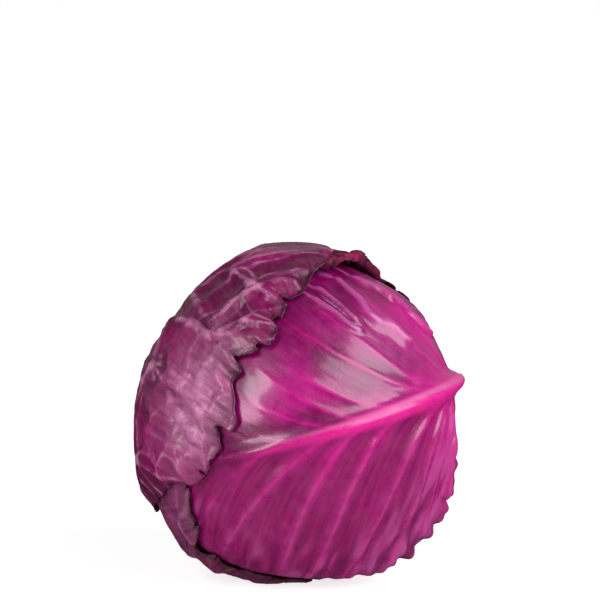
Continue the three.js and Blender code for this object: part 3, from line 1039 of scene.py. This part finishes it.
def skin_colour(recipe, look, noises):
    """Panels of two tones, powdery dust and streaks, painted shade on parts above and below the
    midrib, and pale crests and dark hollows on folds and furrows: the crests from wear and painted
    highlights, the hollows from painted shade.
    """
    ramp, mix, times, known = recipe.ramp, recipe.mix, recipe.times, recipe.known
    streak, mottle = noises["streak"], noises["mottle"]
    toned = recipe.plus(known("tone"), times(noises["broad"], 0.6))
    colour = mix(ramp(toned, 0.6, 1.0), look["deep"], look["skin"])
    # Below the midrib the colour turns to the lower one: partly the leaf's own duller colour, and on
    # the front leaf partly painted shade for the half that faces down.
    colour = mix(ramp(known("x"), -14.0, 4.0, look["lowered"], 0.0), colour, look["lower"])
    # Painted shade: above the midrib, the part that faces away from the softboxes is darkened.
    painted_shade_upper = times(ramp(known("x"), 15.0, 60.0, 0.0, 0.9), ramp(known("y"), -60.0, -25.0))
    colour = mix(painted_shade_upper, colour, look["deep"])
    powdery = times(ramp(mottle, 0.4, 0.7, 0.1, 1.0), ramp(toned, 0.7, 1.3, 0.2, 1.0))
    colour = mix(times(powdery, look["dusty"]), colour, look["dust_and_highlight"])
    colour = mix(ramp(streak, 0.4, 0.8, 0.0, 0.3), colour, look["vein"])
    colour = mix(ramp(streak, 0.25, 0.5, 0.45, 0.0), colour, look["deep"])
    # Crests are paled by worn wax and a painted highlight, and the hollows beside them are darkened as
    # painted shade.
    colour = mix(ramp(known("rubbed_and_painted_light"), 0.05, 0.9, 0.0, 0.7), colour, look["dust_and_highlight"])
    colour = mix(ramp(known("rubbed_and_painted_light"), -0.6, -0.02, 0.7, 0.0), colour, look["deep"])
    bloomed = times(known("bloom"), ramp(mottle, 0.3, 0.6, 0.5, 1.0))
    bloomed = times(bloomed, ramp(streak, 0.35, 0.6, 0.6, 1.0))
    colour = mix(bloomed, colour, look["dust_and_highlight"])
    # Painted light on the furrows: their crests are paled as a painted highlight, and their valleys
    # are darkened as painted shade.
    colour = mix(ramp(known("furrow"), 0.0, 0.35, 0.0, 0.55), colour, look["dust_and_highlight"])
    return mix(ramp(known("furrow"), -0.35, 0.0, 0.6, 0.0), colour, look["deep"])


# %% Veins, creases and the midrib
RIB_CREST_X = 3.2


def vein_colour(recipe, look, noises, colour):
    """Side veins with a soft glow round them where the blade is bare, and pale creases, partly dust
    and partly a painted highlight.
    """
    ramp, mix, times, known = recipe.ramp, recipe.mix, recipe.times, recipe.known
    mottle = noises["mottle"]
    shown = times(known("bare"), ramp(mottle, 0.3, 0.6, 0.5, 1.0))
    lined = mix(ramp(known("x"), -30.0, -4.0, look["paled"], 0.0), look["vein"], look["dust_and_highlight"])
    glow = times(ramp(known("vein"), 0.5, 5.0, 0.5 * look["veined"], 0.0), shown)
    glow = times(glow, ramp(known("x"), -6.0, 4.0, 1.0, 0.3))
    colour = mix(glow, colour, lined)
    core = times(ramp(known("vein"), 0.1, 1.5, 0.8 * look["veined"], 0.0), shown)
    colour = mix(core, colour, lined)
    # Pale creases: partly dust, partly a painted highlight on their crests.
    creased = times(ramp(known("crease"), 0.2, 0.9, 0.6, 0.0), ramp(mottle, 0.42, 0.6))
    return mix(creased, colour, look["dust_and_highlight"])


def rib_colour(recipe, look, colour):
    """The midrib, a painted highlight along its crest, and the pink where it runs into the stem."""
    ramp, mix, known = recipe.ramp, recipe.mix, recipe.known
    on_rib = ramp(known("rib"), 1.1, 3.8, 0.0, 0.9)
    colour = mix(on_rib, colour, look["rib"])
    # Painted highlight: a pale streak along the midrib, just above its middle.
    from_crest = recipe.maths("ABSOLUTE", recipe.plus(known("x"), -RIB_CREST_X))
    crest = recipe.times(ramp(from_crest, 0.3, 2.4, 0.6, 0.0), on_rib)
    colour = mix(crest, colour, look["rib_highlight"])
    colour = mix(ramp(known("y"), -108.0, -45.0, look["foot_pink"], 0.0), colour, look["vein"])
    return mix(ramp(known("y"), -121.0, -100.0, 1.6 * look["foot_pink"], 0.0), colour, KNOB_PINK)


# %% The margin
def margin_colour(recipe, look, noises, turned, colour):
    """A dry border, the crushed roll, and the dark torn edge with its shreds."""
    ramp, mix, times, known = recipe.ramp, recipe.mix, recipe.times, recipe.known
    mottle = noises["mottle"]
    wander = ramp(noises["broad"], 0.35, 0.7, 0.25 * look["dryness"], look["dryness"])
    colour = mix(times(ramp(known("margin"), 1.0, 13.0, 1.0, 0.0), wander), colour, look["dry"])
    colour = mix(turned, colour, mix(ramp(mottle, 0.4, 0.56), CRUSHED_DARK, CRUSHED_RED))
    shreds = times(known("fray"), ramp(mottle, 0.35, 0.6, -0.5, -6.5))
    nearing = recipe.plus(recipe.plus(known("margin"), times(mottle, -1.6)), shreds)
    edged = times(ramp(nearing, -0.5, 0.5, 1.0, 0.0), ramp(mottle, 0.3, 0.55, 1.0, 0.45))
    return mix(edged, colour, look["edge"])


# %% The whole leaf finish
LEAF_BUMP_DEPTH = 0.0009


def leaf_finish(look):
    material = bpy.data.materials.new(look["name"])
    material.use_nodes = True
    shader = material.node_tree.nodes["Principled BSDF"]
    recipe = Recipe(material.node_tree)
    plus, times = recipe.plus, recipe.times
    noises = leaf_noises(recipe)
    turned = recipe.ramp(recipe.known("curl"), 0.8, 1.6, 0.0, 0.85)
    colour = skin_colour(recipe, look, noises)
    colour = vein_colour(recipe, look, noises, colour)
    colour = rib_colour(recipe, look, colour)
    colour = margin_colour(recipe, look, noises, turned, colour)
    recipe.feed(shader.inputs["Base Color"], colour)
    roughness = recipe.ramp(noises["mottle"], 0.3, 0.75, look["gloss"], look["gloss"] + 0.18)
    recipe.feed(shader.inputs["Roughness"], plus(roughness, times(turned, 0.3)))
    shader.inputs["Specular IOR Level"].default_value = look["shine"]
    unturned = recipe.maths("SUBTRACT", 1.0, turned)
    recipe.feed(shader.inputs["Coat Weight"], times(unturned, look["waxed"]))
    shader.inputs["Coat Roughness"].default_value = look["coat_blur"]
    height = plus(times(noises["streak"], look["streaky"]), times(noises["fibre"], 0.06))
    height = plus(height, times(noises["mottle"], 0.5))
    height = plus(height, times(noises["grain"], 0.2))
    recipe.bump(shader, height, look["bumpy"], LEAF_BUMP_DEPTH)
    return material


# %% [markdown]
# ## Four looks
#
# The looks go from the fresh magenta of the inner leaf to the dull, dusty mauve of the outer ones
# with their dried brown edges. A look holds colours, and amounts from 0 to 1: how veined, dusty,
# dry, waxed or streaky the leaf is, and how far its half below the midrib differs, in its own colour
# and in painted shade. The colour of dust also serves for the painted highlights on crests and
# furrows.

# %% The looks of the four leaves
PLAIN = dict(foot_pink=0.0, lowered=0.3, streaky=0.9, shine=0.18, waxed=0.2, paled=0.0, bumpy=0.55)
LOOKS = {
    "front_leaf": dict(
        PLAIN, name="fresh_magenta_leaf",
        skin=linear(174, 0, 120), deep=linear(112, 0, 76), lower=linear(144, 8, 94),
        vein=linear(230, 16, 152), rib=linear(240, 16, 152), rib_highlight=linear(248, 150, 204),
        dust_and_highlight=linear(204, 84, 164), dry=linear(110, 26, 76), edge=linear(96, 24, 60),
        veined=0.6, dusty=0.12, dryness=0.4, gloss=0.26, coat_blur=0.13,
        foot_pink=0.5, lowered=0.9, streaky=0.3, shine=0.3, waxed=0.36, paled=0.45,
    ),
    "upper_leaf": dict(
        PLAIN, name="dusty_mauve_leaf",
        skin=linear(166, 0, 110), deep=linear(88, 0, 54), lower=linear(128, 2, 80),
        vein=linear(166, 50, 122), rib=linear(172, 74, 132), rib_highlight=linear(196, 110, 158),
        dust_and_highlight=linear(224, 142, 188), dry=linear(112, 34, 72), edge=linear(24, 8, 10),
        veined=0.12, dusty=0.12, dryness=0.45, gloss=0.3, coat_blur=0.2,
        shine=0.2, waxed=0.24, bumpy=0.9,
    ),
    "lower_leaf": dict(
        PLAIN, name="dusty_lilac_leaf",
        skin=linear(142, 22, 96), deep=linear(100, 4, 64), lower=linear(128, 18, 86),
        vein=linear(168, 62, 126), rib=linear(172, 74, 132), rib_highlight=linear(196, 110, 158),
        dust_and_highlight=linear(180, 100, 152), dry=linear(130, 78, 96), edge=linear(24, 8, 10),
        veined=0.2, dusty=0.3, dryness=0.6, gloss=0.36, coat_blur=0.28,
    ),
    "back_leaf": dict(
        PLAIN, name="dull_purple_leaf",
        skin=linear(104, 20, 72), deep=linear(72, 8, 48), lower=linear(98, 20, 70),
        vein=linear(164, 72, 120), rib=linear(180, 92, 138), rib_highlight=linear(200, 120, 164),
        dust_and_highlight=linear(158, 80, 128), dry=linear(106, 66, 76), edge=linear(26, 9, 11),
        veined=0.5, dusty=0.25, dryness=0.65, gloss=0.36, coat_blur=0.28,
    ),
}
for piece, leaf in zip(pieces, LEAVES):
    piece.data.materials.append(leaf_finish(LOOKS[leaf["name"]]))
    print(leaf["name"], "has the finish", LOOKS[leaf["name"]]["name"])

# %% [markdown]
# ## The finish of the heart
#
# The heart shows bright inner skin, with fine rays that run out from the stem. Where the stem was
# cut, the face is pale and woody, with faint rings, a pinkish rind and a pink stalk round it.


# %% The skin of the heart and the face of the cut
def heart_skin(recipe, streak, broad):
    ramp, mix = recipe.ramp, recipe.mix
    skin = mix(ramp(broad, 0.38, 0.62), linear(136, 6, 92), linear(172, 18, 122))
    skin = mix(ramp(streak, 0.4, 0.75, 0.0, 0.4), skin, linear(206, 70, 150))
    return mix(ramp(recipe.known("vein"), 0.2, 1.8, 0.55, 0.0), skin, linear(222, 96, 168))


def cut_face(recipe, cut, broad, grain):
    """Rings, then the rind: cut is the distance from the middle of the face, in mm."""
    ramp, mix, times = recipe.ramp, recipe.mix, recipe.times
    pale = mix(ramp(grain, 0.35, 0.7), linear(236, 226, 206), linear(214, 196, 168))
    rings = recipe.maths("SINE", recipe.plus(times(cut, 2.4), times(broad, 5.0)))
    pale = mix(ramp(rings, 0.2, 1.0, 0.0, 0.35), pale, linear(190, 168, 138))
    pale = mix(ramp(cut, 10.0, 11.2), pale, linear(232, 206, 206))
    return mix(ramp(cut, 12.6, 14.4), pale, linear(196, 132, 158))


# %% The whole heart finish
HEART_BUMP_DEPTH = 0.0007


def heart_finish():
    material = bpy.data.materials.new("heart_and_cut_stump")
    material.use_nodes = True
    shader = material.node_tree.nodes["Principled BSDF"]
    recipe = Recipe(material.node_tree)
    ramp, mix, plus, times = recipe.ramp, recipe.mix, recipe.plus, recipe.times
    body = recipe.node("ShaderNodeTexCoord").outputs["Object"]
    rays = recipe.node("ShaderNodeCombineXYZ")
    recipe.feed(rays.inputs[0], times(recipe.known("around"), 0.35))
    recipe.feed(rays.inputs[1], times(recipe.known("from_stem"), 0.06))
    streak = recipe.noise(rays.outputs[0], 1.0, 4, 0.6)
    broad, grain, fine = (recipe.noise(body, *size) for size in ((60, 4), (420, 4), (1400, 3)))
    cut = recipe.known("cut")
    stalk = mix(ramp(streak, 0.35, 0.65), linear(222, 170, 196), linear(206, 110, 164))
    reach = plus(recipe.known("from_stem"), times(streak, -14.0))
    stalk = mix(ramp(reach, 7.0, 18.0), stalk, heart_skin(recipe, streak, broad))
    colour = mix(ramp(cut, 15.2, 16.0), cut_face(recipe, cut, broad, grain), stalk)
    recipe.feed(shader.inputs["Base Color"], colour)
    recipe.feed(shader.inputs["Roughness"], ramp(grain, 0.3, 0.7, 0.36, 0.56))
    shader.inputs["Specular IOR Level"].default_value = 0.3
    shader.inputs["Coat Weight"].default_value = 0.2
    shader.inputs["Coat Roughness"].default_value = 0.2
    height = plus(times(streak, 0.9), times(grain, 0.5))
    recipe.bump(shader, plus(height, times(fine, 0.2)), 0.45, HEART_BUMP_DEPTH)
    return material


heart.data.materials.append(heart_finish())
print("the heart has the finish", heart.data.materials[0].name)

# %% [markdown]
# ## Put the pieces on the frame
#
# Every fine piece stands for one node of the solid model: it moves with the same body, and takes
# the node's place. A cabbage has no joints, so all of them ride the root.

# %% Ride and replace
for piece, leaf in zip(pieces, LEAVES):
    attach(piece, "root")
    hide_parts(leaf["name"])
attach(heart, "root")
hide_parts("heart_with_stump")
print("pieces on the frame:", [piece.name for piece in (*pieces, heart)])

# %% [markdown]
# ## The floor
#
# The head lies on white paper that is so bright that it runs into the backdrop, and only a faint
# shadow is left. The paper is kept out of reflections, or it would whiten the waxy leaves.

# %% The white floor
FLOOR_HALF_SIZE = 6.0
FLOOR_GREY, FLOOR_GLOW = 0.5, 0.76
board = bmesh.new()
bmesh.ops.create_grid(board, x_segments=1, y_segments=1, size=FLOOR_HALF_SIZE)
floor = object_from("floor", board)
floor.visible_glossy = False
paper = bpy.data.materials.new("white_paper")
paper.use_nodes = True
sheet_shader = paper.node_tree.nodes["Principled BSDF"]
sheet_shader.inputs["Base Color"].default_value = (FLOOR_GREY, FLOOR_GREY, FLOOR_GREY, 1)
sheet_shader.inputs["Roughness"].default_value = 0.9
sheet_shader.inputs["Emission Color"].default_value = (1, 1, 1, 1)
sheet_shader.inputs["Emission Strength"].default_value = FLOOR_GLOW
floor.data.materials.append(paper)
print("floor:", 2 * FLOOR_HALF_SIZE, "m across")

# %% [markdown]
# ## The light
#
# A large softbox stands to the right and a narrow one to the left: they show as pale patches on
# the waxy skin. The room glows softly from above and behind. It is pure white only where the camera
# sees it directly, so that the backdrop stays white while the leaves keep their dark sides.


# %% The softboxes
SOFTBOX_DISTANCE = 2.5


def softbox(name, towards, width, height, power):
    light = bpy.data.lights.new(name, "AREA")
    light.shape = "RECTANGLE"
    light.size, light.size_y = width, height
    light.energy = power
    lamp = bpy.data.objects.new(name, light)
    bpy.context.scene.collection.objects.link(lamp)
    way = Vector(towards).normalized()
    lamp.location = Vector(HEAD_CENTRE) * MM + way * SOFTBOX_DISTANCE
    lamp.rotation_euler = way.to_track_quat("Z", "Y").to_euler()
    print(name, width, "by", height, "m,", power, "W")


softbox("right_softbox", (0.69, -0.44, 0.57), 2.1, 2.1, 92)
softbox("left_strip", (-0.56, -0.675, 0.479), 0.62, 1.9, 44)

# %% The white room
world = bpy.data.worlds.new("white_backdrop")
world.use_nodes = True
bpy.context.scene.world = world
background = world.node_tree.nodes["Background"]
room = Recipe(world.node_tree)
compass = room.node("ShaderNodeSeparateXYZ")
room.feed(compass.inputs[0], room.node("ShaderNodeTexCoord").outputs["Generated"])
behind = room.ramp(compass.outputs["Y"], 0.0, 0.9, 0.07, 0.34)
above = room.ramp(compass.outputs["Z"], -0.15, 0.15, 0.1, 1.0)
seen_by_camera = room.node("ShaderNodeLightPath").outputs["Is Camera Ray"]
glow = room.maths("MAXIMUM", room.times(behind, above), seen_by_camera)
room.feed(background.inputs["Strength"], glow)
background.inputs["Color"].default_value = (1, 1, 1, 1)
bpy.context.scene.view_settings.view_transform = "Standard"
print("the room is white for the camera, and dim for the leaves")

# %% [markdown]
# ## The camera
#
# It stands far off with a long lens, a little above the head, so that the head keeps its round
# form. It aims above the head, which puts the head in the lower half of the picture.

# %% The camera
CAMERA_RISE = math.radians(12)
CAMERA_DISTANCE = 2.4
VIEW_WIDTH = 0.283
AIM_ABOVE_HEAD = 0.0561
SENSOR_WIDTH = 36
towards_camera = Vector((0, -math.cos(CAMERA_RISE), math.sin(CAMERA_RISE)))
picture_up = Vector((0, math.sin(CAMERA_RISE), math.cos(CAMERA_RISE)))
camera_data = bpy.data.cameras.new("camera")
camera_data.sensor_width = SENSOR_WIDTH
camera_data.lens = SENSOR_WIDTH * CAMERA_DISTANCE / VIEW_WIDTH
camera_data.clip_end = 20
camera = bpy.data.objects.new("camera", camera_data)
bpy.context.scene.collection.objects.link(camera)
aim = Vector(HEAD_CENTRE) * MM + picture_up * AIM_ABOVE_HEAD
camera.location = aim + towards_camera * CAMERA_DISTANCE
camera.rotation_euler = (math.pi / 2 - CAMERA_RISE, 0, 0)
bpy.context.scene.camera = camera
print("lens:", round(camera_data.lens), "mm")
